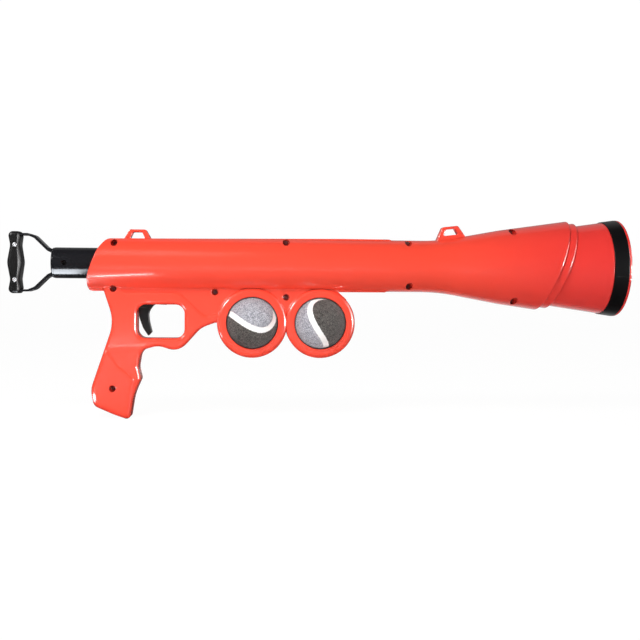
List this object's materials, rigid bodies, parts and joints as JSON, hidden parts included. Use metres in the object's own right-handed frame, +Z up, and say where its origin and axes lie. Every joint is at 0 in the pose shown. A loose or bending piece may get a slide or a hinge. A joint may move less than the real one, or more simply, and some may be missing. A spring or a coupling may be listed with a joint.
{
  "type": "dog ball launcher",
  "caption": "Hand-held spring launcher for dog balls: flared barrel, pull-back D-handle plunger, pistol grip with trigger, and two ring holders with spare balls.",
  "frame": {"origin": "centre of the muzzle rim, in the plane of its flat front edge", "axes": "+X along the bore out of the muzzle, +Z up, Y = 0 is the joint of the two body shells"},
  "size_m": [0.691, 0.111, 0.2294],
  "materials": {
    "body_plastic": "glossy injection-moulded coral red",
    "black_gloss_plastic": "glossy black",
    "black_grip_plastic": "satin black",
    "black_rubber": "matt black rubber",
    "steel": "zinc plated",
    "inner_plastic": "unpainted natural",
    "ball_felt": "woven felt"
  },
  "bodies": {
    "launcher": {"right_shell": "body_plastic", "left_shell": "body_plastic", "case_screws": "steel", "muzzle_cone": "body_plastic", "muzzle_band": "black_rubber", "rear_bushing": "inner_plastic", "spring_washer": "steel", "front_guide": "inner_plastic", "buffer_ring": "black_rubber", "drive_spring": "steel", "trigger_pin": "steel", "trigger_spring": "steel"},
    "plunger": {"plunger_tube": "black_gloss_plastic", "catch_collar": "steel", "collar_pin": "steel", "pusher_head": "black_grip_plastic", "pusher_pad": "black_rubber", "pad_screw": "steel", "handle_yoke": "black_gloss_plastic", "handle_grip_right": "black_grip_plastic", "handle_grip_left": "black_grip_plastic", "handle_screws": "steel", "yoke_screw": "steel"},
    "trigger": {"trigger": "black_grip_plastic"},
    "rear_ball": {"spare_ball_rear": "ball_felt"},
    "front_ball": {"spare_ball_front": "ball_felt"}
  },
  "joints": [
    {"name": "plunger_slide", "type": "slide", "parent": "launcher", "child": "plunger", "axis": [-1, 0, 0], "range_m": [0, 0.117], "stiffness_N_per_m": 450, "springref_m": -0.03, "deforming": ["drive_spring"]},
    {"name": "trigger_pull", "type": "hinge", "parent": "launcher", "child": "trigger", "pos_m": [-0.545, 0, -0.037], "axis": [0, 1, 0], "range_deg": [0, 8], "stiffness_Nm_per_rad": 0.2, "springref_deg": -11.46, "deforming": ["trigger_spring"]},
    {"name": "rear_ball_push_out", "type": "slide", "parent": "launcher", "child": "rear_ball", "axis": [0, -1, 0], "range_m": [0, 0.07], "deforming": ["spare_ball_rear"]},
    {"name": "front_ball_push_out", "type": "slide", "parent": "launcher", "child": "front_ball", "axis": [0, -1, 0], "range_m": [0, 0.07], "deforming": ["spare_ball_front"]}
  ]
}
